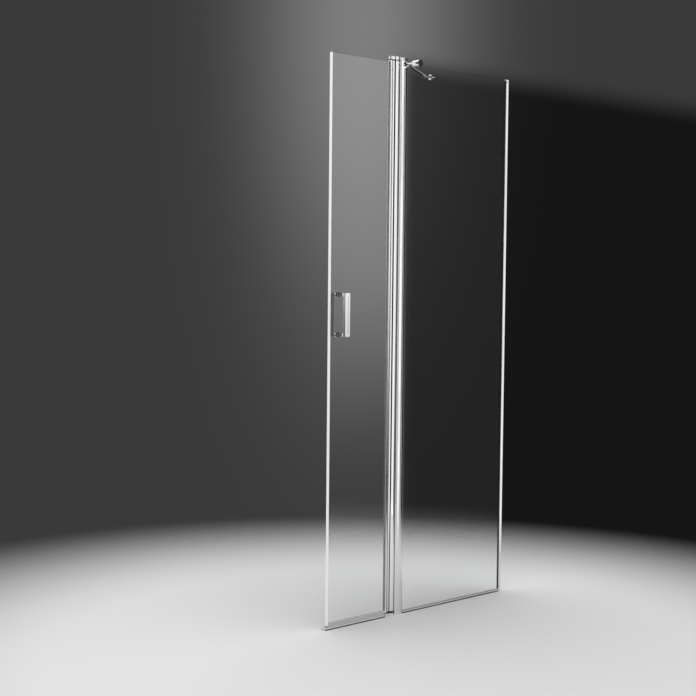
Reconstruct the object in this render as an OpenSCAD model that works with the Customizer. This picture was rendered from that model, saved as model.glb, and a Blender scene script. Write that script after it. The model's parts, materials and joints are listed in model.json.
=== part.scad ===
// Walk-in shower screen: a fixed glass pane in a wall channel and a hinged glass door in line with it.
// X = 0 is the wall, the screen runs towards -X, Y = 0 is the middle of the glass,
// +Y is the inside of the shower, and Z = 0 is the rim that the screen stands on.

/* [Panes] */
// Height of the top edge of both panes
glass_top = 1890; // [1400:5:2100]
// Thickness of the glass
glass_t = 6; // [5:0.5:8]
// Distance from the wall to the free edge of the door
free_edge = 850; // [760:1:1000]
// Distance from the wall to the pivot axis of the door
pivot_from_wall = 560; // [556:1:660]
// Height of the underside of the fixed pane
fixed_glass_low = 5.5; // [5:0.5:6.5]
// Height of the underside of the door glass
door_glass_low = 14; // [13:0.5:20]

/* [Channels and gaskets] */
// Depth of the wall channel, out from the wall
channel_d = 12; // [11:0.5:30]
// Thickness of the wall channel's web
channel_web = 2; // [1.5:0.1:3]
// Thickness of the legs of the wall channel and of the foot channel
channel_leg = 1.5; // [1:0.1:2.5]
// How far the fixed pane reaches into the wall channel
channel_bite = 7; // [5:0.5:8]
// Thickness of the gaskets beside the fixed pane
gasket_t = 1.5; // [1:0.1:2.5]
// How far a gasket's bead laps over the leg beside it
bead_lap = 0.8; // [0.4:0.1:1]
// Diameter of the wall channel's screw holes
wall_hole_d = 4.5; // [3.5:0.1:6]
// Height of the lowest wall screw, and distance of the highest one from the top
wall_hole_end = 120; // [60:5:250]
// Diameter of the screws that lock the fixed pane in the wall channel
lock_screw_d = 3; // [2:0.1:4]
// Distance of the locking screws from the top and from the foot gasket
lock_screw_end = 8; // [6:1:60]
// Thickness of the wall channel's top cap
cap_t = 2; // [1:0.5:4]

/* [Foot channel and threshold] */
// Thickness of the rubber seal under the foot channel and the threshold
bed_t = 1.5; // [0.5:0.1:2]
// Height of the top of the foot channel and of the threshold
sill_h = 7.5; // [6.5:0.5:8.5]
// Thickness of the foot channel's base
sill_base = 1.5; // [1:0.1:2.5]
// Length of one setting block
block_l = 40; // [20:1:100]
// Width of the threshold under the door
threshold_w = 14; // [13:0.5:20]
// Thickness of the threshold's walls
threshold_wall = 1.2; // [1:0.1:1.8]
// Height of the threshold's inner lip, which stops the door
lip_h = 11; // [9:0.5:12.5]
// Thickness of the lip
lip_t = 1.5; // [1:0.1:2.5]
// How far the threshold runs past the door's free edge
threshold_past = 7; // [6:1:60]
// Length of the threshold's end cap
end_cap_l = 7; // [4:0.5:15]

/* [Post] */
// Width of the post along the screen
post_w = 40; // [36:0.5:50]
// Width of the flat part of the post's faces
post_flat_w = 21; // [20:0.5:30]
// Depth of the post across the screen
post_d = 22; // [22:0.5:30]
// Radius of the post's round corners
post_corner_r = 2.5; // [1:0.1:3.5]
// Thickness of the post's legs at their mouth
post_lip = 1.8; // [1.4:0.1:2.5]
// Thickness of the post's outer walls
post_wall = 1.6; // [1.2:0.1:2.2]
// How far the fixed pane reaches into the post
post_bite = 10; // [6:0.5:12]
// Height of the post above the glass
post_above_glass = 8; // [7:0.5:20]

/* [Door hinge profile] */
// Outer radius of the door profile's round nose
nose_r = 13; // [12.5:0.1:14]
// Wall of the nose
nose_wall = 2.5; // [2:0.1:3.5]
// Radial gap between the nose and the scooped side of the post
scoop_gap = 1.5; // [0.8:0.1:3]
// How far the door glass reaches into the door profile
door_bite = 13; // [8:0.5:14]
// Metal between the nose's bore and the door glass slot
door_web = 5; // [2:0.1:6]
// Thickness of the legs of the door profile's channel
door_leg = 1.8; // [1.4:0.1:2]
// Thickness of the gaskets beside the door glass
door_gasket_t = 2.7; // [2:0.1:3]
// How far the door swings outwards
door_opening = 100; // [90:1:110]
// Space between the door profile and the bottom pivot arm
profile_gap = 8; // [5:0.5:12]
// Height of the door profile above the glass
profile_above_glass = 4; // [3:0.5:5]

/* [Pivots] */
// Thickness of a pivot arm at its pin
arm_t = 10.5; // [8.5:0.5:14]
// Thickness of a pivot arm's tongue at the post
tongue_t = 4; // [3:0.1:4.2]
// Depth of a pivot arm's tongue across the screen
tongue_d = 18; // [17:0.5:20]
// Radius of a pivot pin
pin_r = 4; // [3:0.1:5]
// Length of a pivot pin inside its bush
pin_reach = 18; // [12:1:30]
// Length of a pivot bush inside the nose
bush_l = 20; // [14:1:40]
// Radius of a bush's collar
collar_r = 12.4; // [11:0.1:12.5]
// Diameter of the screws that hold the pivot arms
arm_screw_d = 3.9; // [3:0.1:4.2]
// Distance between the two screws of a pivot arm
arm_screw_pitch = 10.4; // [10:0.1:10.6]
// Length of those screws below the tongue
arm_screw_l = 25; // [12:1:40]

/* [Door seals] */
// Radius of the round edge seal
edge_seal_r = 3.8; // [3.3:0.1:5.5]
// How far the edge seal laps over the glass
edge_seal_lap = 3.2; // [2:0.1:12]
// Wall of the drip seal
drip_wall = 1; // [0.6:0.1:1.4]
// How far the drip seal laps up over the glass
drip_lap = 9; // [5:0.5:15]

/* [Handle] */
// Distance from the free edge of the door to the handle's fixings
handle_from_edge = 42; // [30:1:80]
// Height of the middle of the handle
handle_z = 1042.5; // [800:0.5:1200]
// Distance between the handle's fixings
handle_cc = 132; // [96:1:300]
// Width of the handle's bar
handle_w = 20; // [18:0.5:30]
// Thickness of the handle's bar
handle_t = 11; // [8:0.5:16]
// Height of each handle arm
handle_arm = 10; // [10:0.5:20]
// Clear space between the glass and the bar
handle_gap = 35; // [30:1:60]
// Diameter of the handle's screws
handle_screw_d = 5; // [4:0.1:6]
// Diameter of the handle's holes in the glass
handle_hole_d = 10; // [9:0.5:12]
// Diameter of the handle's washers
handle_washer_d = 15; // [13:0.5:20]
// Thickness of the handle's washers
handle_washer_t = 1; // [0.5:0.1:2]
// Diameter of the inner rosettes
rosette_d = 18; // [16:0.5:26]
// Height of the inner rosettes
rosette_h = 6; // [5:0.5:10]

/* [Brace clamp] */
// Distance from the wall to the brace clamp
brace_from_wall = 490; // [300:1:495]
// Radius of the clamp's barrel
clamp_r = 12; // [11:0.1:16]
// Radius of the clamp's neck, which straddles the glass
neck_r = 7; // [6.5:0.1:9]
// Distance from the middle of the glass to the clamp's barrel
neck_out = 17; // [10:0.5:20]
// Reach of the clamp outside the glass, from the middle of the glass
clamp_out = 47; // [44:1:70]
// Reach of the clamp inside the glass, from the middle of the glass
clamp_in = 8; // [7:0.5:14]
// Thickness of the clamp's pad beside the glass
pad_t = 1; // [0.5:0.1:2]
// Thickness of the clamp's pad over the glass
pad_top_t = 0.5; // [0.3:0.1:1]
// How far the clamp's pad reaches down the glass
pad_h = 4.5; // [3:0.5:4.5]
// Diameter of the clamp screw
clamp_screw_d = 6; // [5:0.1:8]
// Length of the clamp screw
clamp_screw_l = 36; // [34:1:38]
// Radius of the clamp's end cap
clamp_cap_r = 9.8; // [6:0.1:10]
// Distance of the grub screw from the clamp's outer end
grub_from_end = 10; // [9:0.5:16]

/* [Brace bar and wall flange] */
// Distance of the wall flange from the glass
flange_from_glass = 390; // [250:1:500]
// Rise of the brace from its clamp to its wall flange
brace_rise = 54; // [0:1:150]
// Radius of the brace bar
bar_r = 5; // [4:0.1:6]
// Distance from the clamp's inner face to its yoke pin
clamp_pin_from_face = 10; // [10:0.5:20]
// Distance from the wall to the wall yoke pin
flange_pin_from_wall = 40; // [32:1:80]
// Radius of the yokes
yoke_r = 5.5; // [5:0.1:7]
// Thickness of the brace's eyes
eye_t = 3.5; // [2.5:0.1:4]
// Gap between an eye and the cheeks of its yoke
eye_gap = 0.3; // [0.1:0.05:0.5]
// Radius of the yoke pins
yoke_pin_r = 2; // [1.5:0.1:2.5]
// Distance from a yoke pin to the end of the bar
eye_l = 14; // [12:0.5:20]
// Radius of the wall flange
flange_r = 10.5; // [9.5:0.1:25]
// Thickness of the wall flange
flange_t = 3; // [2:0.1:6]
// Height of the flange's cover
cover_h = 16; // [8:0.5:22]
// Radius of the threaded hole for the wall stud
stud_hole_r = 3; // [2.5:0.1:3.2]
// Depth of that threaded hole
stud_hole_l = 16; // [10:0.5:20]

/* [Clearances] */
// Radial clearance of a pin in its bush or eye
pin_play = 0.05; // [0.02:0.01:0.1]
// Radial clearance of a screw, pin or bush in its seat
seat_play = 0.03; // [0.01:0.01:0.1]
// Clearance between parts that pass each other
run_gap = 0.3; // [0.2:0.05:0.5]

/* [Hidden] */
$fn = 64;

// Overrun of a cut past a face
cut = 1;

// Slots that hold the glass
glass_half = glass_t / 2;
slot_half = glass_half + gasket_t;
channel_half = slot_half + channel_leg;
door_slot_half = glass_half + door_gasket_t;
door_half = door_slot_half + door_leg;
slot_floor_gap = 2;
bead_r = gasket_t + bead_lap;
door_bead_r = door_gasket_t + bead_lap;

// Places along the screen, as X
x_channel = -channel_d;
x_fixed_wall_edge = -(channel_d - channel_bite);
x_pivot = -pivot_from_wall;
// The post stands back from the pivot just far enough for the door's channel to pass it when open
overswing = door_opening - 90;
pass_gap = 1.45;
post_from_pivot = door_half / cos(overswing) + post_d / 2 * tan(overswing) + pass_gap;
x_post_left = x_pivot + post_from_pivot;
x_post_right = x_post_left + post_w;
x_fixed_post_edge = x_post_right - post_bite;
post_slot_d = post_bite + slot_floor_gap;
nose_bore_r = nose_r - nose_wall;
door_slot_d = door_bite + slot_floor_gap / 2;
door_reach = nose_bore_r + door_web + door_slot_d;
x_door_mouth = x_pivot - door_reach;
x_door_pivot_edge = x_door_mouth + door_bite;
x_door_free_edge = -(free_edge - edge_seal_r);
scoop_r = nose_r + scoop_gap;
// The post's faces are flat at first, and then fall in an arc to the legs' mouth
x_shoulder = x_post_left + post_flat_w;
shoulder_run = x_post_right - x_shoulder;
shoulder_drop = post_d / 2 - slot_half - post_lip;
shoulder_r = (pow(shoulder_run, 2) + pow(shoulder_drop, 2)) / (2 * shoulder_drop);

// Heights
fixed_bead_top = sill_h + bead_r;
post_top = glass_top + post_above_glass;
arm_top = post_top + arm_t;
profile_low = arm_t + profile_gap;
profile_top = glass_top + profile_above_glass;
clamp_slot_top = glass_top + pad_top_t;
clamp_z = clamp_slot_top + 0.5;

// Screws of the wall channel
wall_hole_count = 4;
wall_hole_pitch = (glass_top - 2 * wall_hole_end) / (wall_hole_count - 1);
wall_hole_heights = [for (i = [0 : wall_hole_count - 1]) wall_hole_end + i * wall_hole_pitch];
lock_heights = [fixed_bead_top + lock_screw_end, glass_top - lock_screw_end];
x_lock = x_channel + 3;

// Screws of the pivot arms and their ports in the post
port_wall = 1.3;
port_r = arm_screw_d / 2 + seat_play;
port_from_slot = port_r + port_wall + 4.5;
x_ports = x_post_right - post_slot_d - port_from_slot;
screw_head_r = arm_screw_d / 2 + 1.6;
screw_head_h = 2.4;
screw_socket_h = 1.4;
// Depth of the recess that hides the lower screw heads
screw_sink = screw_head_h + 0.1;
x_tongue_end = x_ports + screw_head_r + 1;
// Metal left over the end of each pivot pin
pin_cover = 2;
// Grub screw that holds the post's top cap on the tongue
cap_screw_r = 1.5;
cap_screw_bite = 3;
cap_screw_sunk = 0.5;
x_cap_screw = x_post_left + post_flat_w / 2;
// Shallow flute beside the mouth of the door profile, on both of its faces
flute_r = 2;
flute_depth = 0.8;
flute_from_mouth = 8;

// Threshold
x_threshold = x_pivot - door_reach - run_gap;
x_threshold_end = -(free_edge + threshold_past);
drip_low = sill_h + run_gap + 0.1;
drip_half = glass_half + drip_wall;

// Handle
x_handle = -(free_edge - handle_from_edge);
handle_back = -(glass_half + handle_washer_t);
handle_front = -(glass_half + handle_gap + handle_t);
handle_l = handle_cc + handle_arm;
handle_head_r = handle_screw_d / 2 + 2;
handle_head_h = 3;
handle_thread_l = 12;
handle_groove_half = 3;
handle_groove_h = 0.8;

// Clamp of the brace
clamp_slot_half = glass_half + pad_t;
clamp_cap_l = 4;
clamp_cap_recess = 0.8;
grub_y = -(clamp_out - grub_from_end);
grub_r = 3;
grub_recess = 1.5;

// Brace: its two yoke pins, and the line between them
pin_a = [-brace_from_wall, clamp_in + clamp_pin_from_face, clamp_z];
pin_b = [-flange_pin_from_wall, flange_from_glass, clamp_z + brace_rise];
run = pin_b - pin_a;
bar_yaw = atan2(run[1], run[0]);
bar_pitch = atan2(run[2], norm([run[0], run[1]]));
bar_l = norm(run);
eye_r = yoke_r - 0.4;
flange_edge = 1.2;
cover_front = 1.5;
// Tilt of each yoke, which sets its pin square to the bar
yoke_a_tilt = atan2(run[2], run[0]);
yoke_b_tilt = atan2(run[2], run[1]);
// Turn of each eye about the bar, which lines its hole up with its yoke's pin
eye_a_turn = atan2(-sin(yoke_a_tilt) * sin(bar_yaw), cos(yoke_a_tilt) / cos(bar_pitch));
eye_b_turn = atan2(sin(yoke_b_tilt) * cos(bar_yaw), cos(yoke_b_tilt) / cos(bar_pitch));

// Straight cylinder between two heights
module rod(r, z0, z1) {
  translate([0, 0, z0])
    cylinder(r = r, h = z1 - z0);
}

// Box between two corners
module block(low, high) {
  translate(low)
    cube(high - low);
}

// Outline of a bar with round corners
module round_rect(low, high, r) {
  for (x = [low[0] + r, high[0] - r], y = [low[1] + r, high[1] - r])
    translate([x, y])
      circle(r = r);
  translate([low[0] + r, low[1]])
    square([high[0] - low[0] - 2 * r, high[1] - low[1]]);
  translate([low[0], low[1] + r])
    square([high[0] - low[0], high[1] - low[1] - 2 * r]);
}

// Section of a U channel with its mouth at x = 0, open towards -x
module u_section(depth, web, half, slot) {
  difference() {
    translate([0, -half])
      square([depth, 2 * half]);
    translate([-cut, -slot])
      square([depth - web + cut, 2 * slot]);
  }
}

// Section of a gasket against the +y face of the glass, with the channel's mouth at x = 0:
// a strip inside the channel and a quarter round bead that laps over the leg
module gasket_section(depth, t, bead) {
  translate([0, glass_half])
    square([depth, t]);
  translate([0, glass_half])
    intersection() {
      circle(r = bead);
      translate([-bead, 0])
        square([bead, bead]);
    }
}

// Extrudes a section between two heights
module upright(z0, z1) {
  translate([0, 0, z0])
    linear_extrude(z1 - z0)
      children();
}

// Turns a section so that its x runs up and its y runs along Y, and extrudes it between two X places
module along_screen(x0, x1) {
  translate([x0, 0, 0])
    rotate([90, 0, 90])
      linear_extrude(x1 - x0)
        children();
}

module wall_channel() {
  color("silver")
    difference() {
      upright(0, glass_top)
        translate([x_channel, 0])
          u_section(channel_d, channel_web, channel_half, slot_half);
      for (z = wall_hole_heights)
        translate([0, 0, z])
          rotate([0, 90, 0])
            rod(wall_hole_d / 2, -channel_web - cut, cut);
      for (z = lock_heights)
        translate([x_lock, 0, z])
          rotate([90, 0, 0])
            rod(lock_screw_d / 2 + seat_play, slot_half - cut / 2, channel_half + cut / 2);
    }
}

module wall_channel_cap() {
  plug_h = 6;
  plug_gap = 0.2;
  color("silver") {
    block([x_channel, -channel_half, glass_top], [0, channel_half, glass_top + cap_t]);
    block([x_fixed_wall_edge + 0.5, -slot_half + plug_gap, glass_top - plug_h],
          [-channel_web - plug_gap, slot_half - plug_gap, glass_top]);
  }
}

// Gasket on the outer side of the glass for side = -1, and on the inner side for side = 1
module wall_gasket(side) {
  color("dimgray")
    mirror([0, side < 0 ? 1 : 0, 0])
      upright(fixed_bead_top, glass_top)
        translate([x_channel, 0])
          gasket_section(channel_bite, gasket_t, bead_r);
}

module channel_locking_screws() {
  head_r = lock_screw_d / 2 + 1;
  head_h = 1;
  color("dimgray")
    for (z = lock_heights)
      translate([x_lock, 0, z])
        rotate([90, 0, 0]) {
          rod(lock_screw_d / 2, slot_half, channel_half);
          rod(head_r, channel_half, channel_half + head_h);
        }
}

module fixed_glass() {
  color("lightcyan", 0.4)
    block([x_fixed_post_edge, -glass_half, fixed_glass_low], [x_fixed_wall_edge, glass_half, glass_top]);
}

// Outline of the post, scooped round the pivot, with round shoulders that fall to the glass
module post_outline() {
  difference() {
    round_rect([x_post_left, -post_d / 2], [x_shoulder + post_corner_r, post_d / 2], post_corner_r);
    translate([x_shoulder, -post_d])
      square([shoulder_run, 2 * post_d]);
    translate([x_pivot, 0])
      circle(r = scoop_r);
  }
  intersection() {
    translate([x_shoulder, -post_d / 2])
      square([shoulder_run, post_d]);
    translate([x_shoulder, shoulder_r - post_d / 2])
      circle(r = shoulder_r);
    translate([x_shoulder, post_d / 2 - shoulder_r])
      circle(r = shoulder_r);
  }
}

module post_profile() {
  x_chamber = x_post_right - post_slot_d - post_wall;
  chamber_half = post_d / 2 - post_wall;
  color("silver")
    upright(tongue_t, post_top)
      difference() {
        post_outline();
        translate([x_post_right - post_slot_d, -slot_half])
          square([post_slot_d + cut, 2 * slot_half]);
        difference() {
          translate([x_post_left + post_wall, -chamber_half])
            square([x_chamber - x_post_left - post_wall, 2 * chamber_half]);
          translate([x_pivot, 0])
            circle(r = scoop_r + post_wall);
          for (side = [-1, 1])
            translate([x_ports, side * arm_screw_pitch / 2]) {
              circle(r = port_r + port_wall);
              translate([-port_wall / 2, side > 0 ? 0 : -chamber_half])
                square([port_wall, chamber_half]);
            }
        }
        for (side = [-1, 1])
          translate([x_ports, side * arm_screw_pitch / 2])
            circle(r = port_r);
      }
}

// Gasket of the post, on the side of the glass that side names
module post_gasket(side) {
  color("dimgray")
    mirror([0, side < 0 ? 1 : 0, 0])
      upright(fixed_bead_top, glass_top)
        translate([x_post_right, 0])
          mirror([1, 0])
            gasket_section(post_bite, gasket_t, bead_r);
}

// Outline of a pivot arm over or under the door profile, round at both ends
module arm_outline() {
  translate([x_pivot, 0]) {
    circle(r = nose_r);
    intersection() {
      circle(r = door_reach);
      translate([-door_reach, -door_half])
        square([door_reach, 2 * door_half]);
    }
  }
}

// Outline of an arm's tongue, from the pivot to just short of the post's slot
module tongue_outline() {
  translate([x_pivot, -tongue_d / 2])
    square([x_tongue_end - x_pivot, tongue_d]);
}

// Both places of a pivot arm's screws
module arm_screw_places() {
  for (side = [-1, 1])
    translate([x_ports, side * arm_screw_pitch / 2])
      children();
}

module top_pivot_arm() {
  color("silver")
    difference() {
      union() {
        upright(post_top, arm_top)
          arm_outline();
        upright(post_top, post_top + tongue_t)
          tongue_outline();
      }
      arm_screw_places()
        rod(arm_screw_d / 2 + run_gap, post_top - cut, post_top + tongue_t + cut);
      translate([x_pivot, 0])
        rod(pin_r + seat_play, post_top - cut, arm_top - pin_cover);
      at_cap_screw()
        rod(cap_screw_r + seat_play, tongue_d / 2 - cap_screw_bite, tongue_d / 2 + cut);
    }
}

module bottom_pivot_arm() {
  color("silver")
    difference() {
      union() {
        upright(0, arm_t)
          arm_outline();
        upright(0, tongue_t) {
          tongue_outline();
          post_outline();
        }
      }
      arm_screw_places() {
        rod(arm_screw_d / 2 + run_gap, -cut, tongue_t + cut);
        rod(screw_head_r + run_gap, -cut, screw_sink);
      }
      translate([x_pivot, 0])
        rod(pin_r + seat_play, pin_cover, arm_t + cut);
    }
}

// Pin between two heights on the pivot axis
module pivot_pin(z0, z1) {
  color("gainsboro")
    translate([x_pivot, 0])
      rod(pin_r, z0, z1);
}

// One pan head screw with its tip at z = 0 and its head on top
module arm_screw(length) {
  difference() {
    union() {
      rod(arm_screw_d / 2, 0, length);
      rod(screw_head_r, length, length + screw_head_h);
    }
    translate([0, 0, length + screw_head_h - screw_socket_h])
      cylinder(r = arm_screw_d / 3, h = screw_socket_h + cut, $fn = 6);
  }
}

module pivot_arm_screws() {
  color("gainsboro")
    arm_screw_places() {
      translate([0, 0, post_top + tongue_t - arm_screw_l])
        arm_screw(arm_screw_l);
      translate([0, 0, screw_sink + arm_screw_l])
        mirror([0, 0, 1])
          arm_screw(arm_screw_l);
    }
}

// Axis of the post cap's grub screw, with z towards the outside of the shower
module at_cap_screw() {
  translate([x_cap_screw, 0, post_top + tongue_t / 2])
    rotate([90, 0, 0])
      children();
}

module post_cap_screw() {
  socket_h = 1.2;
  z_end = post_d / 2 - cap_screw_sunk;
  color("gainsboro")
    at_cap_screw()
      difference() {
        rod(cap_screw_r, tongue_d / 2 - cap_screw_bite, z_end);
        translate([0, 0, z_end - socket_h])
          cylinder(r = cap_screw_r / 1.8, h = socket_h + cut, $fn = 6);
      }
}

// Cap with a recess that goes over the top arm's tongue and screws
module post_top_cap() {
  recess_gap = 0.2;
  color("silver")
    difference() {
      upright(post_top, arm_top)
        post_outline();
      upright(post_top - cut, post_top + tongue_t + screw_head_h + run_gap)
        translate([x_pivot, -tongue_d / 2 - recess_gap])
          square([x_tongue_end + recess_gap - x_pivot, tongue_d + 2 * recess_gap]);
      at_cap_screw()
        rod(cap_screw_r + seat_play, tongue_d / 2, post_d / 2 + cut);
    }
}

module foot_channel() {
  color("silver")
    along_screen(x_post_right, x_channel)
      difference() {
        translate([-channel_half, bed_t])
          square([2 * channel_half, sill_h - bed_t]);
        translate([-slot_half, bed_t + sill_base])
          square([2 * slot_half, sill_h]);
      }
}

// Rubber strips between the shower's rim and the two foot profiles
module foot_seal() {
  color("dimgray") {
    block([x_post_right, -channel_half, 0], [x_channel, channel_half, bed_t]);
    block([x_threshold_end, -threshold_w / 2, 0], [x_threshold, threshold_w / 2, bed_t]);
  }
}

// Gasket of the foot channel, on the side of the glass that side names
module foot_gasket(side) {
  color("dimgray")
    mirror([0, side < 0 ? 1 : 0, 0])
      along_screen(x_post_right, x_channel)
        translate([0, sill_h])
          rotate(-90)
            gasket_section(sill_h - bed_t - sill_base, gasket_t, bead_r);
}

module setting_blocks() {
  pane_l = x_channel - x_post_right;
  color("dimgray")
    for (share = [1 / 4, 3 / 4])
      translate([x_post_right + share * pane_l, 0, 0])
        block([-block_l / 2, -glass_half, bed_t + sill_base], [block_l / 2, glass_half, fixed_glass_low]);
}

module door_threshold() {
  half = threshold_w / 2;
  color("silver")
    along_screen(x_threshold_end, x_threshold)
      difference() {
        union() {
          translate([-half, bed_t])
            square([2 * half, sill_h - bed_t]);
          translate([drip_half + run_gap, bed_t])
            square([lip_t, lip_h - bed_t]);
        }
        translate([-half + threshold_wall, bed_t + threshold_wall])
          square([2 * (half - threshold_wall), sill_h - bed_t - 2 * threshold_wall]);
      }
}

// End cap with a round top corner, on a plug that goes into the threshold
module threshold_end_cap() {
  cap_half = threshold_w / 2 + 0.5;
  plug_l = 8;
  plug_play = 0.1;
  plug_half = threshold_w / 2 - threshold_wall - plug_play;
  plug_low = bed_t + threshold_wall + plug_play;
  plug_high = sill_h - threshold_wall - plug_play;
  flat_l = 1;
  round_r = end_cap_l - flat_l;
  color("gainsboro") {
    translate([x_threshold_end, cap_half, 0])
      rotate([90, 0, 0])
        linear_extrude(2 * cap_half) {
          translate([-flat_l, 0])
            square([flat_l, lip_h]);
          translate([-end_cap_l, 0])
            square([end_cap_l, lip_h - round_r]);
          translate([-flat_l, lip_h - round_r])
            intersection() {
              circle(r = round_r);
              translate([-round_r, 0])
                square([round_r, round_r]);
            }
        }
    block([x_threshold_end, -plug_half, plug_low], [x_threshold_end + plug_l, plug_half, plug_high]);
  }
}

// Places a part on the clamp's axis with its z towards the outside of the shower
module on_clamp() {
  translate([-brace_from_wall, 0, clamp_z])
    rotate([90, 0, 0])
      children();
}

module brace_clamp() {
  color("silver")
    difference() {
      on_clamp() {
        rod(clamp_r, neck_out, clamp_out);
        rod(neck_r, -clamp_in, clamp_out);
      }
      block([-brace_from_wall - clamp_r - cut, -clamp_slot_half, clamp_z - clamp_r - cut],
            [-brace_from_wall + clamp_r + cut, clamp_slot_half, clamp_slot_top]);
      on_clamp() {
        rod(clamp_screw_d / 2 + seat_play, clamp_slot_half - cut, clamp_out);
        rod(clamp_cap_r, clamp_out - clamp_cap_l - clamp_cap_recess, clamp_out + cut);
      }
      translate([-brace_from_wall, grub_y, clamp_z])
        rotate([0, -90, 0])
          rod(grub_r, 0, clamp_r + cut);
    }
}

// Pad folded over the glass, as wide as the clamp's neck is at the pad's foot
module brace_clamp_pad() {
  half_x = sqrt(pow(neck_r, 2) - pow(clamp_z - glass_top + pad_h, 2)) - run_gap;
  color("dimgray")
    difference() {
      block([-brace_from_wall - half_x, -clamp_slot_half, glass_top - pad_h],
            [-brace_from_wall + half_x, clamp_slot_half, clamp_slot_top]);
      block([-brace_from_wall - half_x - cut, -glass_half, glass_top - pad_h - cut],
            [-brace_from_wall + half_x + cut, glass_half, glass_top]);
    }
}

module brace_clamp_screw() {
  z_end = clamp_slot_half + clamp_screw_l;
  socket_h = 3;
  color("gainsboro")
    on_clamp()
      difference() {
        rod(clamp_screw_d / 2, clamp_slot_half, z_end);
        translate([0, 0, z_end - socket_h])
          cylinder(r = clamp_screw_d / 4, h = socket_h + cut, $fn = 6);
      }
}

// Grub screw that locks the clamp screw, sunk in the clamp's side
module brace_grub_screw() {
  socket_h = 2.5;
  color("dimgray")
    translate([-brace_from_wall, grub_y, clamp_z])
      rotate([0, -90, 0])
        difference() {
          rod(grub_r - seat_play, clamp_screw_d / 2 + 0.1, clamp_r - grub_recess);
          translate([0, 0, clamp_r - grub_recess - socket_h])
            cylinder(r = grub_r / 1.9, h = socket_h + cut, $fn = 6);
        }
}

module brace_clamp_cap() {
  color("black")
    on_clamp()
      rod(clamp_cap_r - seat_play, clamp_out - clamp_cap_l - clamp_cap_recess, clamp_out - clamp_cap_recess);
}

// Yoke with its pin at the origin along z, and its shank towards -x
module yoke(shank) {
  slot_half_t = eye_t / 2 + eye_gap;
  nose = yoke_pin_r + 2.5;
  difference() {
    rotate([0, 90, 0])
      rod(yoke_r, -shank, nose);
    block([-yoke_r - cut, -yoke_r - cut, -slot_half_t], [nose + cut, yoke_r + cut, slot_half_t]);
    rod(yoke_pin_r + seat_play, -yoke_r - cut, yoke_r + cut);
  }
}

// Pin of a yoke, a little short of the yoke's round sides
module yoke_pin() {
  rod(yoke_pin_r, -eye_r, eye_r);
}

// Eye with its hole at the origin along z, and its socket end towards +x
module eye() {
  socket_l = 4;
  socket_wall = 0.6;
  difference() {
    union() {
      rod(eye_r, -eye_t / 2, eye_t / 2);
      block([0, -eye_r, -eye_t / 2], [eye_l - socket_l + cut, eye_r, eye_t / 2]);
      rotate([0, 90, 0])
        rod(bar_r + socket_wall, eye_l - socket_l, eye_l);
    }
    rod(yoke_pin_r + pin_play, -eye_t, eye_t);
  }
}

// Frame of the clamp's yoke
module at_clamp_yoke() {
  translate(pin_a)
    rotate([0, -yoke_a_tilt, 0])
      rotate([0, 0, 90])
        children();
}

// Frame of the wall flange's yoke
module at_flange_yoke() {
  translate(pin_b)
    rotate([yoke_b_tilt, 0, 0])
      rotate([0, 0, 180])
        children();
}

// Frame of the bar, with x along it
module at_bar() {
  translate(pin_a)
    rotate([0, -bar_pitch, bar_yaw])
      children();
}

module clamp_yoke() {
  color("silver")
    at_clamp_yoke()
      yoke(clamp_pin_from_face);
}

module clamp_yoke_pin() {
  color("gainsboro")
    at_clamp_yoke()
      yoke_pin();
}

module brace_bar() {
  color("silver")
    at_bar()
      rotate([0, 90, 0])
        rod(bar_r, eye_l, bar_l - eye_l);
}

module brace_clamp_eye() {
  color("gainsboro")
    at_bar()
      rotate([eye_a_turn, 0, 0])
        eye();
}

module brace_wall_eye() {
  color("gainsboro")
    at_bar()
      translate([bar_l, 0, 0])
        rotate([eye_b_turn, 0, 0])
          rotate([0, 0, 180])
            eye();
}

module flange_yoke() {
  color("silver")
    difference() {
      at_flange_yoke()
        yoke(flange_pin_from_wall);
      translate([-stud_hole_l, flange_from_glass, clamp_z + brace_rise])
        rotate([0, 90, 0])
          cylinder(r = stud_hole_r, h = stud_hole_l + cut);
    }
}

module flange_yoke_pin() {
  color("gainsboro")
    at_flange_yoke()
      yoke_pin();
}

// Ring round the flange yoke's shank, between two distances from the wall
module ring_at_wall(r, bore, near, far) {
  translate([0, flange_from_glass, clamp_z + brace_rise])
    rotate([0, -90, 0])
      difference() {
        rod(r, near, far);
        rod(bore, near - cut, far + cut);
      }
}

module wall_flange() {
  color("gainsboro")
    ring_at_wall(flange_r - flange_edge, yoke_r + seat_play, 0, flange_t);
}

// Hollow cover with a front wall that runs on the yoke's shank
module flange_cover() {
  hollow_l = cover_h - cover_front;
  color("silver")
    difference() {
      ring_at_wall(flange_r, yoke_r + seat_play, 0, cover_h);
      translate([-hollow_l, flange_from_glass, clamp_z + brace_rise])
        rotate([0, 90, 0])
          cylinder(r = flange_r - flange_edge + seat_play, h = hollow_l + cut);
    }
}

module door_glass() {
  color("lightcyan", 0.4)
    difference() {
      block([x_door_free_edge, -glass_half, door_glass_low], [x_door_pivot_edge, glass_half, glass_top]);
      handle_fixings()
        rod(handle_hole_d / 2, -glass_half - cut, glass_half + cut);
    }
}

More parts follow.
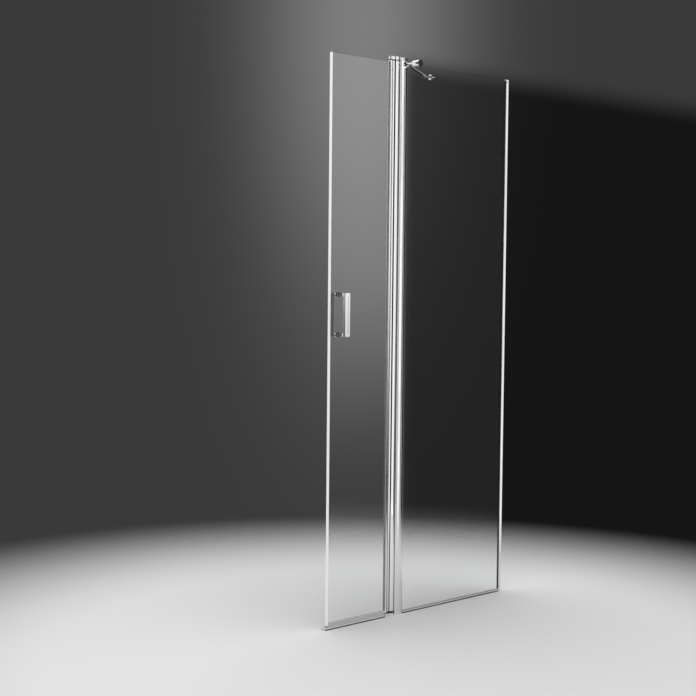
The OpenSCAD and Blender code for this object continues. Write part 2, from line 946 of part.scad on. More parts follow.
// Slim channel on a round nose, with a fine groove on each side where they meet and a flute by the mouth
module door_profile() {
  groove_r = 0.9;
  x_groove = x_pivot - sqrt(pow(nose_r, 2) - pow(door_half, 2)) - 1;
  color("silver")
    upright(profile_low, profile_top)
      difference() {
        union() {
          translate([x_pivot, 0])
            circle(r = nose_r);
          translate([x_door_mouth, -door_half])
            square([door_reach, 2 * door_half]);
        }
        translate([x_pivot, 0])
          circle(r = nose_bore_r);
        translate([x_door_mouth - cut, -door_slot_half])
          square([door_slot_d + cut, 2 * door_slot_half]);
        for (side = [-1, 1])
          translate([x_groove, side * door_half])
            circle(r = groove_r);
        for (side = [-1, 1])
          translate([x_door_mouth + flute_from_mouth, side * (door_half + flute_r - flute_depth)])
            circle(r = flute_r);
      }
}

// Plug that closes the top of the door profile's slot, over the glass and the gaskets
module door_profile_plug() {
  plug_play = 0.1;
  half = door_slot_half - plug_play;
  color("silver")
    block([x_door_mouth, -half, glass_top + run_gap], [x_door_mouth + door_slot_d, half, profile_top]);
}

// Gasket of the door profile, on the side of the glass that side names
module door_gasket(side) {
  color("white", 0.6)
    mirror([0, side < 0 ? 1 : 0, 0])
      upright(max(profile_low, door_glass_low + drip_lap), glass_top)
        translate([x_door_mouth, 0])
          gasket_section(door_bite, door_gasket_t, door_bead_r);
}

// Bush with its collar between z0 and z1 and its sleeve inside the nose
module pivot_bush(z0, z1, sleeve_end) {
  color("black")
    translate([x_pivot, 0])
      difference() {
        union() {
          rod(collar_r, z0, z1);
          rod(nose_bore_r - seat_play, min(z0, sleeve_end), max(z1, sleeve_end));
        }
        rod(pin_r + pin_play, min(z0, sleeve_end) - cut, max(z1, sleeve_end) + cut);
      }
}

// Seal round the door's free edge, with a leg on each side of the glass
module edge_seal() {
  color("white", 0.8)
    upright(door_glass_low, glass_top)
      difference() {
        union() {
          translate([x_door_free_edge, 0])
            circle(r = edge_seal_r);
          translate([x_door_free_edge, -edge_seal_r])
            square([edge_seal_lap, 2 * edge_seal_r]);
        }
        translate([x_door_free_edge, -glass_half])
          square([edge_seal_lap + cut, glass_t]);
      }
}

// Seal that laps over the foot of the door glass, with two lips above the threshold
module drip_seal() {
  x0 = x_door_free_edge + edge_seal_lap;
  x1 = x_door_mouth - 0.5;
  color("white", 0.6)
    along_screen(x0, x1)
      difference() {
        union() {
          translate([-drip_half, door_glass_low - drip_wall])
            square([2 * drip_half, drip_wall + drip_lap]);
          for (y = [-drip_half, drip_half - drip_wall])
            translate([y, drip_low])
              square([drip_wall, door_glass_low - drip_low]);
        }
        translate([-glass_half, door_glass_low])
          square([glass_t, drip_lap + cut]);
      }
}

// Both fixings of the handle, with z towards the outside of the shower
module handle_fixings() {
  for (side = [-1, 1])
    translate([x_handle, 0, handle_z + side * handle_cc / 2])
      rotate([90, 0, 0])
        children();
}

// Square pull handle: a bar with a shallow front groove and two arms
module handle() {
  low = handle_z - handle_l / 2;
  high = handle_z + handle_l / 2;
  bar_back = handle_front + handle_t;
  color("silver")
    difference() {
      block([x_handle - handle_w / 2, handle_front, low], [x_handle + handle_w / 2, handle_back, high]);
      block([x_handle - handle_w / 2 - cut, bar_back, low + handle_arm],
            [x_handle + handle_w / 2 + cut, handle_back + cut, high - handle_arm]);
      block([x_handle - handle_groove_half, handle_front - cut, low + handle_arm],
            [x_handle + handle_groove_half, handle_front + handle_groove_h, high - handle_arm]);
      handle_fixings()
        rod(handle_screw_d / 2 + seat_play, -handle_back - cut, -handle_back + handle_thread_l + 1);
    }
}

// Washers on both faces of the glass, with a sleeve through the hole
module handle_washers() {
  bore = handle_screw_d / 2 + 0.2;
  color("dimgray")
    handle_fixings()
      difference() {
        union() {
          rod(handle_washer_d / 2, glass_half, -handle_back);
          rod(handle_hole_d / 2 - seat_play, -glass_half + run_gap, glass_half);
          rod(handle_washer_d / 2, handle_back, -glass_half);
        }
        rod(bore, handle_back - cut, cut - handle_back);
      }
}

module handle_screws() {
  socket_h = 2;
  color("gainsboro")
    handle_fixings()
      difference() {
        union() {
          rod(handle_screw_d / 2, handle_back, -handle_back + handle_thread_l);
          rod(handle_head_r, handle_back - handle_head_h, handle_back);
        }
        translate([0, 0, handle_back - handle_head_h - cut])
          cylinder(r = handle_screw_d / 3.4, h = socket_h + cut, $fn = 6);
      }
}

// Round covers over the screw heads on the inside
module handle_rosettes() {
  color("silver")
    handle_fixings()
      difference() {
        rod(rosette_d / 2, handle_back - rosette_h, handle_back);
        rod(handle_head_r + 0.1, handle_back - handle_head_h - 0.2, handle_back + cut);
      }
}

wall_channel();
wall_channel_cap();
wall_gasket(-1);  // wall_gasket_outer
wall_gasket(1);  // wall_gasket_inner
channel_locking_screws();
fixed_glass();
post_profile();
post_gasket(-1);  // post_gasket_outer
post_gasket(1);  // post_gasket_inner
post_top_cap();
top_pivot_arm();
bottom_pivot_arm();
pivot_pin(profile_top - pin_reach, arm_top - pin_cover);  // top_pivot_pin
pivot_pin(pin_cover, profile_low + pin_reach);  // bottom_pivot_pin
pivot_arm_screws();
foot_channel();
foot_gasket(-1);  // foot_gasket_outer
foot_gasket(1);  // foot_gasket_inner
foot_seal();
setting_blocks();
door_threshold();
threshold_end_cap();
post_cap_screw();
brace_clamp();
brace_clamp_pad();
brace_clamp_screw();
brace_grub_screw();
brace_clamp_cap();
clamp_yoke();
clamp_yoke_pin();
door_glass();
door_profile();
door_profile_plug();
door_gasket(-1);  // door_gasket_outer
door_gasket(1);  // door_gasket_inner
pivot_bush(profile_top, post_top - run_gap, profile_top - bush_l);  // top_pivot_bush
pivot_bush(arm_t + run_gap, profile_low, profile_low + bush_l);  // bottom_pivot_bush
edge_seal();
drip_seal();
handle();
handle_washers();
handle_screws();
handle_rosettes();
brace_bar();
brace_clamp_eye();
brace_wall_eye();
flange_yoke();
flange_yoke_pin();
wall_flange();
flange_cover();
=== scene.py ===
"""Walk-in shower screen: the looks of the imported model, with its floor, light and camera."""
import json
import math

import bmesh
import bpy
from mathutils import Matrix, Vector


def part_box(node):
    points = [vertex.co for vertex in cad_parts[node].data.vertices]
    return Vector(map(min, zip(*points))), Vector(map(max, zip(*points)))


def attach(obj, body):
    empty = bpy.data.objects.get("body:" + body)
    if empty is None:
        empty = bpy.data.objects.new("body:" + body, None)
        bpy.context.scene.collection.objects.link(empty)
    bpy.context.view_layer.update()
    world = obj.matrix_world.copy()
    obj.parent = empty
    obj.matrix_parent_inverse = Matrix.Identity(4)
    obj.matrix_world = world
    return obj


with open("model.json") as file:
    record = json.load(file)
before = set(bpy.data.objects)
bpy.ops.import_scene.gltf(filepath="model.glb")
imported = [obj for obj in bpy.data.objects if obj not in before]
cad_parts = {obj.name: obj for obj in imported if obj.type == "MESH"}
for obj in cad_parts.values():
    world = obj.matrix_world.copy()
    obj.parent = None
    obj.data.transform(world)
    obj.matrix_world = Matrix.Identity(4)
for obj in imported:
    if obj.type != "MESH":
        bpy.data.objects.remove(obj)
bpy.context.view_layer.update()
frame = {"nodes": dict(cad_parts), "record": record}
nodes = frame["nodes"]
scene = bpy.context.scene

MM = 0.001
BLACK = (0, 0, 0, 1)
WHITE = (1, 1, 1, 1)
UPWARDS = (0, 0, 1)


# Camera

CAMERA_PLACE = Vector((-3.5083, -3.1510, 1.1596))
CAMERA_AZIMUTH = math.radians(-41.068)
CAMERA_ELEVATION = math.radians(3.127)
CAMERA_ROLL = math.radians(0.540)
CAMERA_LENS = 65.39
CAMERA_SENSOR = 36
CAMERA_REACH = 80


def make_camera():
    """The photograph's camera, from its place, direction and roll."""
    az, el, roll = CAMERA_AZIMUTH, CAMERA_ELEVATION, CAMERA_ROLL
    ahead = Vector((-math.sin(az) * math.cos(el), math.cos(az) * math.cos(el), -math.sin(el)))
    level = ahead.cross(Vector(UPWARDS)).normalized()
    upright = level.cross(ahead)
    right = level * math.cos(roll) + upright * math.sin(roll)
    up = upright * math.cos(roll) - level * math.sin(roll)
    camera = bpy.data.objects.new("camera", bpy.data.cameras.new("camera"))
    scene.collection.objects.link(camera)
    turn = Matrix((right, up, -ahead)).transposed().to_4x4()
    camera.matrix_world = Matrix.Translation(CAMERA_PLACE) @ turn
    camera.data.sensor_width = CAMERA_SENSOR
    camera.data.lens = CAMERA_LENS
    camera.data.clip_end = CAMERA_REACH
    scene.camera = camera


make_camera()


# Node helpers

def new_material(name):
    """A material and its node tree and Principled shader."""
    material = bpy.data.materials.new(name)
    material.use_nodes = True
    tree = material.node_tree
    shader = next(n for n in tree.nodes if n.type == "BSDF_PRINCIPLED")
    return material, tree, shader


def new_metal(name):
    """The same, of bare metal."""
    material, tree, shader = new_material(name)
    shader.inputs["Metallic"].default_value = 1
    return material, tree, shader


def put(tree, value, socket):
    """Links an output to a socket, or sets the socket to a number, vector or colour."""
    if isinstance(value, bpy.types.NodeSocket):
        tree.links.new(value, socket)
    else:
        socket.default_value = value


def maths(tree, operation, *values):
    node = tree.nodes.new("ShaderNodeMath")
    node.operation = operation
    for value, socket in zip(values, node.inputs):
        put(tree, value, socket)
    return node.outputs["Value"]


def plus(tree, first, second):
    return maths(tree, "ADD", first, second)


def minus(tree, first, second):
    return maths(tree, "SUBTRACT", first, second)


def times(tree, first, second):
    return maths(tree, "MULTIPLY", first, second)


def dot(tree, vector, direction):
    node = tree.nodes.new("ShaderNodeVectorMath")
    node.operation = "DOT_PRODUCT"
    put(tree, vector, node.inputs[0])
    put(tree, direction, node.inputs[1])
    return node.outputs["Value"]


def remap(tree, value, low, high, to_low=0, to_high=1, soft=False):
    """Maps a value from one range to another, held at both ends."""
    node = tree.nodes.new("ShaderNodeMapRange")
    node.interpolation_type = "SMOOTHSTEP" if soft else "LINEAR"
    for name, number in (("Value", value), ("From Min", low), ("From Max", high),
                         ("To Min", to_low), ("To Max", to_high)):
        put(tree, number, node.inputs[name])
    return node.outputs["Result"]


def mix_colour(tree, share, first, second):
    """The first colour where the share is 0, the second where it is 1."""
    node = tree.nodes.new("ShaderNodeMix")
    node.data_type = "RGBA"
    inputs = {s.identifier: s for s in node.inputs}
    put(tree, share, inputs["Factor_Float"])
    put(tree, first, inputs["A_Color"])
    put(tree, second, inputs["B_Color"])
    return next(s for s in node.outputs if s.identifier == "Result_Color")


def own_place(tree, stretch=(1, 1, 1)):
    """The object's own coordinates in metres, scaled along each axis."""
    place = tree.nodes.new("ShaderNodeTexCoord")
    mapping = tree.nodes.new("ShaderNodeMapping")
    mapping.inputs["Scale"].default_value = stretch
    put(tree, place.outputs["Object"], mapping.inputs["Vector"])
    return mapping.outputs["Vector"]


def noise(tree, scale, stretch, detail):
    """Noise from about 0 to 1; a stretch below 1 draws it out along that axis."""
    texture = tree.nodes.new("ShaderNodeTexNoise")
    texture.inputs["Scale"].default_value = scale
    texture.inputs["Detail"].default_value = detail
    put(tree, own_place(tree, stretch), texture.inputs["Vector"])
    return texture.outputs["Fac"]


NOISE_LOW, NOISE_HIGH = 0.3, 0.7


def spread(tree, value, low=0, high=1):
    """Maps the useful part of a noise to a range."""
    return remap(tree, value, NOISE_LOW, NOISE_HIGH, low, high)


def bump(tree, shader, height, strength, distance):
    node = tree.nodes.new("ShaderNodeBump")
    node.inputs["Strength"].default_value = strength
    node.inputs["Distance"].default_value = distance
    put(tree, height, node.inputs["Height"])
    put(tree, node.outputs["Normal"], shader.inputs["Normal"])


def opaque(colour):
    return (*colour, 1)


def shade(colour, factor):
    return opaque([c * factor for c in colour])


def grained(tree, grain, colour, dark):
    """A colour that a noise darkens, down to this share of it where the noise is low."""
    return mix_colour(tree, spread(tree, grain), shade(colour, dark), opaque(colour))


# Materials

CHROME_COLOUR = (0.86, 0.865, 0.87)
CHROME_ROUGHNESS = (0.03, 0.06)
EXTRUSION_ROUGHNESS = (0.018, 0.04)
BRUSHED_SPAN = 0.05
PLASTIC_SPAN = 0.04
GLASS_IOR = 1.5
GLASS_CLOUD = 0.996
# Share of a normal that points across the pane, up to which it is an edge and from which a face
EDGE_FACING, PANE_FACING = 0.5, 0.9

# Painted shade in narrow gaps: the colour darkens where another surface lies within GAP_REACH
GAP_REACH = 9 * MM
GAP_SAMPLES = 16
# Open share of what a point faces, up to which the painted gap shade is darkest and from which the
# colour is whole
GAP_CLOSED, GAP_OPEN = 0.35, 0.75
GAP_SHADE_DARK = 0.04
# Painted shade bands: how far across the profile from its middle they set in, and how soft their edges
# are
GROOVE_FROM = 6.4 * MM
GROOVE_SOFT = 0.25 * MM


def painted_shade_in_gaps(tree, colour):
    """Painted shade: darkens a colour where another surface stands close in front of it, as in a narrow
    gap.
    """
    node = tree.nodes.new("ShaderNodeAmbientOcclusion")
    node.samples = GAP_SAMPLES
    node.inputs["Distance"].default_value = GAP_REACH
    light = remap(tree, node.outputs["AO"], GAP_CLOSED, GAP_OPEN, GAP_SHADE_DARK, 1)
    return mix_colour(tree, light, BLACK, colour)


def painted_shade_in_grooves(tree, colour, groove_shades):
    """Painted shade: darkens a colour in upright bands, where y is past GROOVE_FROM on either side.
    Each band is (x, half width, share of the light)."""
    place = own_place(tree)
    x = dot(tree, place, (1, 0, 0))
    y = maths(tree, "ABSOLUTE", dot(tree, place, (0, 1, 0)))
    outside = remap(tree, y, GROOVE_FROM, GROOVE_FROM + GROOVE_SOFT)
    for centre, half, light in groove_shades:
        off = maths(tree, "ABSOLUTE", minus(tree, x, centre))
        inside = remap(tree, off, half - GROOVE_SOFT, half + GROOVE_SOFT, 1 - light, 0)
        colour = mix_colour(tree, times(tree, inside, outside), colour, BLACK)
    return colour


def make_chrome(name):
    """Polished metal whose gloss carries faint wipe marks."""
    material, tree, shader = new_metal(name)
    marks = noise(tree, scale=60, stretch=(1, 1, 0.12), detail=4)
    put(tree, grained(tree, marks, CHROME_COLOUR, dark=0.98), shader.inputs["Base Color"])
    put(tree, spread(tree, marks, *CHROME_ROUGHNESS), shader.inputs["Roughness"])
    return material


def make_extrusion(name, shade_gaps=True, groove_shades=()):
    """Bright polished extrusion: fine draw lines along its length, long shallow waves, and painted
    shade bands along each groove.
    Its gap switch adds painted shade where a neighbour stands close, and is for what never leaves that
    neighbour."""
    material, tree, shader = new_metal(name)
    lines = noise(tree, scale=900, stretch=(1, 1, 0.002), detail=2)
    marks = noise(tree, scale=25, stretch=(1, 1, 0.1), detail=3)
    waves = noise(tree, scale=7, stretch=(1, 1, 0.12), detail=1)
    drawn_and_shaded = grained(tree, lines, CHROME_COLOUR, dark=0.97)
    # Painted shade where a neighbour stands close, then painted shade bands along each groove
    if shade_gaps:
        drawn_and_shaded = painted_shade_in_gaps(tree, drawn_and_shaded)
    put(tree, painted_shade_in_grooves(tree, drawn_and_shaded, groove_shades), shader.inputs["Base Color"])
    put(tree, spread(tree, marks, *EXTRUSION_ROUGHNESS), shader.inputs["Roughness"])
    bump(tree, shader, waves, strength=0.01, distance=2 * MM)
    return material


def make_brushed(name, colour, rough):
    """Plain stainless steel with fine turning lines."""
    material, tree, shader = new_metal(name)
    lines = noise(tree, scale=1500, stretch=(1, 1, 0.2), detail=3)
    put(tree, grained(tree, lines, colour, dark=0.85), shader.inputs["Base Color"])
    put(tree, spread(tree, lines, rough - BRUSHED_SPAN, rough + BRUSHED_SPAN),
        shader.inputs["Roughness"])
    bump(tree, shader, lines, strength=0.1, distance=0.1 * MM)
    return material


def make_glass(name, face, edge):
    """Clear toughened glass whose ground and polished edges show its green."""
    material, tree, shader = new_material(name)
    normal = tree.nodes.new("ShaderNodeTexCoord").outputs["Normal"]
    across = maths(tree, "ABSOLUTE", dot(tree, normal, (0, 1, 0)))
    on_edge = remap(tree, across, EDGE_FACING, PANE_FACING, 1, 0)
    cloud = spread(tree, noise(tree, scale=2, stretch=(1, 1, 1), detail=1))
    body = mix_colour(tree, cloud, opaque(face), shade(face, GLASS_CLOUD))
    put(tree, mix_colour(tree, on_edge, body, opaque(edge)), shader.inputs["Base Color"])
    shader.inputs["Roughness"].default_value = 0
    shader.inputs["IOR"].default_value = GLASS_IOR
    shader.inputs["Transmission Weight"].default_value = 1
    shader.inputs["Coat Weight"].default_value = 1
    shader.inputs["Coat Roughness"].default_value = 0
    return material


def make_plastic(name, colour, rough, grain=300, height=0, alpha=1, contrast=0.12):
    """Moulded or extruded plastic or rubber, with fine grain; alpha below 1 is a clear film."""
    material, tree, shader = new_material(name)
    grains = noise(tree, scale=grain, stretch=(1, 1, 0.4), detail=4)
    put(tree, grained(tree, grains, colour, dark=1 - contrast), shader.inputs["Base Color"])
    put(tree, spread(tree, grains, rough - PLASTIC_SPAN, rough + PLASTIC_SPAN),
        shader.inputs["Roughness"])
    shader.inputs["Alpha"].default_value = alpha
    if height:
        bump(tree, shader, grains, strength=0.3, distance=height)
    return material


# Painted shade bands of the door profile: along the groove where its nose meets its channel, and along
# the flute by the mouth

CHANNEL_HALF = 7.5 * MM
GROOVE_INSET = 1 * MM
FLUTE_INSET = 8 * MM
BAND_HALF = 1.7 * MM
GROOVE_LIGHT = 0.03
FLUTE_LIGHT = 0.3

DOOR_LOW, DOOR_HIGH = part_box("door_profile")
PIVOT_X = next(joint["pos_m"][0] for joint in frame["record"]["behaviour"]["joints"]
               if joint["name"] == "door_swing")
NOSE_R = DOOR_HIGH.x - PIVOT_X
GROOVE_X = PIVOT_X - math.sqrt(NOSE_R ** 2 - CHANNEL_HALF ** 2) - GROOVE_INSET
FLUTE_X = DOOR_LOW.x + FLUTE_INSET
DOOR_SHADE_BANDS = ((GROOVE_X, BAND_HALF, GROOVE_LIGHT), (FLUTE_X, BAND_HALF, FLUTE_LIGHT))


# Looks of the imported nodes

CHROME = make_chrome("chrome")
# The first extrusion has painted shade in gaps; the door's has painted shade bands along its groove and
# flute
ALUMINIUM = make_extrusion("polished_aluminium")
OPEN_ALUMINIUM = make_extrusion("open_aluminium", shade_gaps=False)
DOOR_ALUMINIUM = make_extrusion("door_aluminium", shade_gaps=False, groove_shades=DOOR_SHADE_BANDS)
STEEL = make_brushed("steel", (0.62, 0.62, 0.63), rough=0.25)
GLASS = make_glass("clear_glass", face=(0.975, 0.99, 0.985), edge=(0.42, 0.68, 0.60))
RUBBER = make_plastic("dark_rubber", (0.03, 0.03, 0.032), 0.55,
                      grain=700, height=0.2 * MM, contrast=0.4)
WHITE_SEAL = make_plastic("white_seal", (0.9, 0.91, 0.91), 0.32, contrast=0.04)
CLEAR_SEAL = make_plastic("clear_seal", (0.85, 0.87, 0.87), 0.12, alpha=0.25, contrast=0.04)
GREY_PLASTIC = make_plastic("grey_plastic", (0.6, 0.61, 0.62), 0.3, height=0.1 * MM)
BLACK_PLASTIC = make_plastic("black_plastic", (0.012, 0.012, 0.013), 0.3, height=0.1 * MM, contrast=0.4)

# Material and width of the rounded edges, by slot
LOOKS = {
    "glass": (GLASS, 0.7 * MM),
    "chrome_profile": (ALUMINIUM, 0.4 * MM),
    "chrome_fitting": (CHROME, 0.5 * MM),
    "steel": (STEEL, 0.25 * MM),
    "dark_rubber": (RUBBER, 0.2 * MM),
    "white_seal": (WHITE_SEAL, 0.3 * MM),
    "clear_seal": (CLEAR_SEAL, 0.2 * MM),
    "black_plastic": (BLACK_PLASTIC, 0.4 * MM),
    "grey_plastic": (GREY_PLASTIC, 0.6 * MM),
}
OWN_LOOKS = {"door_profile": DOOR_ALUMINIUM, "door_threshold": OPEN_ALUMINIUM}
METAL_SLOTS = ("chrome_profile", "chrome_fitting", "steel")
SLOTS = {part["node"]: part["material_slot"] for part in frame["record"]["subparts"]}
EDGE_ANGLE = math.radians(35)
EDGE_SEGMENTS = 2


def dress(name):
    """Gives a node its material and fine rounded edges."""
    node = nodes[name]
    material, rounding = LOOKS[SLOTS[name]]
    node.data.materials.clear()
    node.data.materials.append(OWN_LOOKS.get(name, material))
    bevel = node.modifiers.new("edges", "BEVEL")
    bevel.width = rounding
    bevel.segments = EDGE_SEGMENTS
    bevel.limit_method = "ANGLE"
    bevel.angle_limit = EDGE_ANGLE
    bevel.harden_normals = True


for node_name in nodes:
    dress(node_name)


# Lip of the foot seal

LIP_OUT = 2.2 * MM
LIP_HIGH = 3.2 * MM
LIP_SINK = 0.2 * MM
LIP_TIP = 0.35
LIP_STEPS = 6
# Rounded ends: distance from the end in lengths of LIP_OUT, and share of the full section there
LIP_ENDS = ((0, 0.45), (0.3, 0.8), (1, 1))


def lip_section(face):
    """Points (y, z) of the lip's section: full height at the face, LIP_TIP of it at the tip."""
    points = [(face + LIP_SINK, 0), (face + LIP_SINK, LIP_HIGH)]
    for i in range(LIP_STEPS + 1):
        a = math.radians(90) * i / LIP_STEPS
        height = LIP_HIGH * (LIP_TIP + (1 - LIP_TIP) * math.cos(a))
        points.append((face - LIP_OUT * math.sin(a), height))
    points.append((face - LIP_OUT, 0))
    return points


def add_lip(name, node):
    """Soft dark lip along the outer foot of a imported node, with rounded ends."""
    low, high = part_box(node)
    section = lip_section(low[1])
    back = section[0][0]
    rows = [(low[0] + t * LIP_OUT, share) for t, share in LIP_ENDS]
    rows += [(high[0] - t * LIP_OUT, share) for t, share in reversed(LIP_ENDS)]
    vertices = [(x, back + (y - back) * share, z * share) for x, share in rows for y, z in section]
    n = len(section)
    last = len(vertices) - n
    faces = [(r + i, r + (i + 1) % n, r + n + (i + 1) % n, r + n + i)
             for r in range(0, last, n) for i in range(n)]
    faces.append(tuple(range(n))[::-1])
    faces.append(tuple(range(last, len(vertices))))
    mesh = bpy.data.meshes.new(name)
    mesh.from_pydata(vertices, [], faces)
    fix = bmesh.new()
    fix.from_mesh(mesh)
    bmesh.ops.recalc_face_normals(fix, faces=fix.faces)
    fix.to_mesh(mesh)
    fix.free()
    mesh.materials.append(RUBBER)
    lip = bpy.data.objects.new(name, mesh)
    scene.collection.objects.link(lip)
    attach(lip, "frame")


add_lip("foot_lip_door", "door_threshold")
add_lip("foot_lip_pane", "foot_channel")


# Floor

FLOOR_COLOUR = (0.74, 0.74, 0.74)
FLOOR_ROUGHNESS = 0.4
FLOOR_SPECULAR = 0.15
FLOOR_CENTRE = Vector((-0.85, -0.3, 0))
# Distances from the centre between which the floor fades out
PALE_TO, GONE_FROM = 1.0, 2.3


def make_floor():
    """Plain pale floor round the screen, which fades out into the backdrop."""
    mesh = bpy.data.meshes.new("floor")
    r = GONE_FROM
    mesh.from_pydata([(-r, -r, 0), (r, -r, 0), (r, r, 0), (-r, r, 0)], [], [(0, 1, 2, 3)])
    floor = bpy.data.objects.new("floor", mesh)
    floor.location = FLOOR_CENTRE
    scene.collection.objects.link(floor)
    material, tree, shader = new_material("floor")
    away = tree.nodes.new("ShaderNodeVectorMath")
    away.operation = "LENGTH"
    put(tree, own_place(tree), away.inputs[0])
    kept = remap(tree, away.outputs["Value"], PALE_TO, GONE_FROM, 1, 0, soft=True)
    shader.inputs["Base Color"].default_value = opaque(FLOOR_COLOUR)
    shader.inputs["Roughness"].default_value = FLOOR_ROUGHNESS
    shader.inputs["Specular IOR Level"].default_value = FLOOR_SPECULAR
    put(tree, kept, shader.inputs["Alpha"])
    mesh.materials.append(material)


make_floor()


# Backdrop, in directions fixed in the world
# Each AHEAD span says how far towards VIEW_AHEAD a direction points where a part sets in

VIEW_AHEAD = (0.656, 0.753, 0)
VIEW_RIGHT = (0.754, -0.6565, 0)
BACKDROP_GREY = 0.042
BACKDROP_AHEAD = (0.8, 0.95)
AROUND_GREY = 0.11
AROUND_IN_METAL, FAR_IN_METAL = 0.025, 0.1
FAR_AHEAD = (0.3, 0.6)
GLOW = 0.165
GLOW_AHEAD = (0.2, 0.6)
GLOW_RIGHT, GLOW_WIDE = 0.009, 0.075
GLOW_UP, GLOW_TALL = 0.19, 0.205
SHADE = 0.82
SHADE_RIGHT, SHADE_UP, SHADE_FALL = 0.04, 0.168, 0.18
SHADE_SOFT = 0.012
FILL = 0.92


def glow_of(tree, ahead, right, up):
    """Soft oval glow in the middle of the backdrop."""
    wide = maths(tree, "DIVIDE", minus(tree, right, GLOW_RIGHT), GLOW_WIDE)
    tall = maths(tree, "DIVIDE", minus(tree, up, GLOW_UP), GLOW_TALL)
    away = plus(tree, times(tree, wide, wide), times(tree, tall, tall))
    glow = times(tree, maths(tree, "EXPONENT", times(tree, away, -1)), GLOW)
    return times(tree, glow, remap(tree, ahead, *GLOW_AHEAD))


def unshaded(tree, ahead, right, up):
    """Share of the light kept: less past SHADE_RIGHT, below a line that falls from SHADE_UP."""
    past = remap(tree, right, SHADE_RIGHT - SHADE_SOFT, SHADE_RIGHT + SHADE_SOFT, soft=True)
    line = plus(tree, up, times(tree, right, SHADE_FALL))
    top = SHADE_UP + SHADE_FALL * SHADE_RIGHT
    below = remap(tree, line, top - SHADE_SOFT, top + SHADE_SOFT, 1, 0, soft=True)
    shaded = times(tree, times(tree, past, below), remap(tree, ahead, *BACKDROP_AHEAD, soft=True))
    return minus(tree, 1, times(tree, shaded, SHADE))


def grey_of(tree, ahead, glossy, through):
    """Grey of the backdrop and of what lies round it, which is darker in mirror images."""
    mirrored = maths(tree, "MAXIMUM", minus(tree, glossy, through), 0)
    in_metal = remap(tree, ahead, *FAR_AHEAD, AROUND_IN_METAL, FAR_IN_METAL, soft=True)
    around = remap(tree, mirrored, 0, 1, AROUND_GREY, in_metal)
    return remap(tree, ahead, *BACKDROP_AHEAD, around, BACKDROP_GREY, soft=True)


def background(tree, strength):
    node = tree.nodes.new("ShaderNodeBackground")
    node.inputs["Color"].default_value = WHITE
    put(tree, strength, node.inputs["Strength"])
    return node.outputs["Background"]


def make_world():
    """Grey studio: a backdrop with a soft glow for camera, glass and metal, and an even fill."""
    world = bpy.data.worlds.new("world")
    scene.world = world
    world.use_nodes = True
    tree = world.node_tree
    tree.nodes.clear()
    path = tree.nodes.new("ShaderNodeLightPath")
    seen = path.outputs["Is Camera Ray"]
    glossy = path.outputs["Is Glossy Ray"]
    through = path.outputs["Is Transmission Ray"]
    direction = tree.nodes.new("ShaderNodeTexCoord").outputs["Generated"]
    ahead, right, up = (dot(tree, direction, axis) for axis in (VIEW_AHEAD, VIEW_RIGHT, UPWARDS))

    bright = plus(tree, glow_of(tree, ahead, right, up), grey_of(tree, ahead, glossy, through))
    backdrop = background(tree, times(tree, bright, unshaded(tree, ahead, right, up)))
    shows = maths(tree, "MAXIMUM", seen, maths(tree, "MAXIMUM", glossy, through))
    choose = tree.nodes.new("ShaderNodeMixShader")
    put(tree, shows, choose.inputs["Fac"])
    put(tree, background(tree, FILL), choose.inputs[1])
    put(tree, backdrop, choose.inputs[2])
    out = tree.nodes.new("ShaderNodeOutputWorld")
    put(tree, choose.outputs["Shader"], out.inputs["Surface"])


make_world()


# Lamps

FRONT_Y = -1.85
FRONT_Z = 1.35
FRONT_HEIGHT = 3.6
INWARDS = (0, 1, 0)


def fade_lamp(data, low, high, share):
    """Dims a lamp towards the floor: full brightness at the height high, this share of it at low."""
    data.use_nodes = True
    tree = data.node_tree
    emission = next(n for n in tree.nodes if n.type == "EMISSION")
    place = tree.nodes.new("ShaderNodeNewGeometry").outputs["Position"]
    strength = remap(tree, dot(tree, place, UPWARDS), low, high, share, 1, soft=True)
    put(tree, strength, emission.inputs["Strength"])


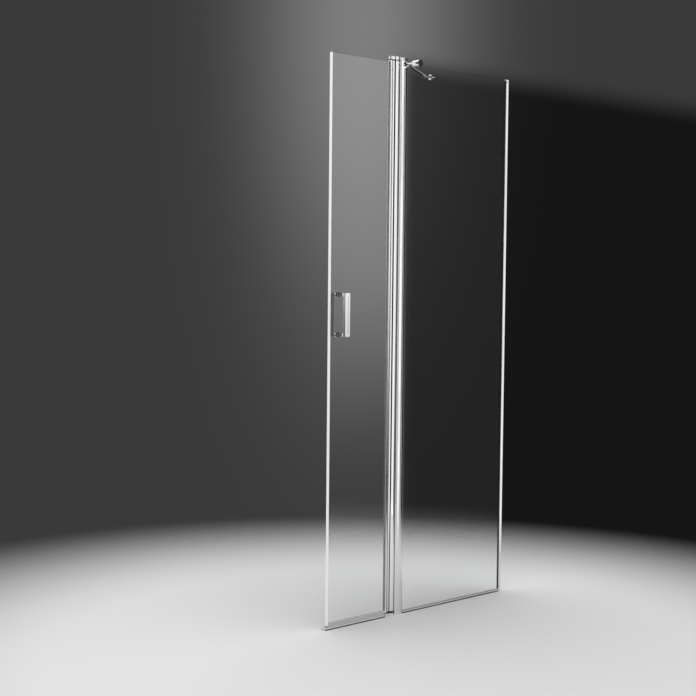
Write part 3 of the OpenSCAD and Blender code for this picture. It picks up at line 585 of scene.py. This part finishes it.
def lamp(name, place, facing, width, height, radiance, fade=None, lights_room=False, only=None):
    """Soft rectangular lamp, as bright in a mirror as its radiance says, and not seen through glass.
    fade is what fade_lamp takes; only is a collection, and nothing else is lit."""
    data = bpy.data.lights.new(name, "AREA")
    data.shape = "RECTANGLE"
    data.size = width
    data.size_y = height
    data.energy = radiance * width * height * math.pi
    if fade:
        fade_lamp(data, *fade)
    lamp_object = bpy.data.objects.new(name, data)
    scene.collection.objects.link(lamp_object)
    turn = Vector(facing).to_track_quat("-Z", "Y").to_matrix().to_4x4()
    lamp_object.matrix_world = Matrix.Translation(place) @ turn
    lamp_object.visible_camera = False
    lamp_object.visible_transmission = False
    lamp_object.visible_diffuse = lights_room
    if only:
        lamp_object.light_linking.receiver_collection = only


def front_lamp(name, x, width, radiance, only=None):
    """Tall lamp in front of the screen, which upright metal mirrors as a stripe."""
    lamp(name, (x, FRONT_Y, FRONT_Z), INWARDS, width, FRONT_HEIGHT, radiance, only=only)


def metal_pieces():
    """Collection of the metal nodes, for the lamps that light nothing else."""
    metal = bpy.data.collections.new("metal_pieces")
    for name, node in nodes.items():
        if SLOTS[name] in METAL_SLOTS:
            metal.objects.link(node)
    return metal


METAL = metal_pieces()

# Name, place, facing, width, height and radiance; for a front lamp the name, x, width and radiance
lamp("door_softbox", (0.765, FRONT_Y, 1.6), INWARDS, 0.73, 3.1, 1.1, fade=(0.05, 1.4, 0))
front_lamp("profile_softbox", 1.154, 0.036, 1.1, only=METAL)
front_lamp("post_softbox", 1.2032, 0.0205, 1.2, only=METAL)
front_lamp("wall_softbox", 2.115, 0.16, 1.0, only=METAL)
front_lamp("left_softbox", -0.905, 2.59, 1.0)
lamp("inner_softbox", (-2.62, 2.2, 1.65), (0.65, -0.76, 0), 1.4, 2.6, 0.9, fade=(0.85, 1.4, 0.15))
lamp("top_softbox", (-0.3, 1.4, 3.4), (0, -0.6, -1), 2.2, 1.2, 1.2)
lamp("brace_softbox", (1.68, 1.63, 2.6), (-0.78, -0.57, -0.28), 1.0, 0.8, 0.3)
lamp("back_softbox", (-0.35, 3.0, 1.6), (0, -1, 0), 2.4, 3.0, 0.6, fade=(0.1, 1.5, 0))
lamp("overhead", (-0.5, 0, 5), (0, 0, -1), 4, 4, 1.2, lights_room=True)

scene.view_settings.view_transform = "Standard"
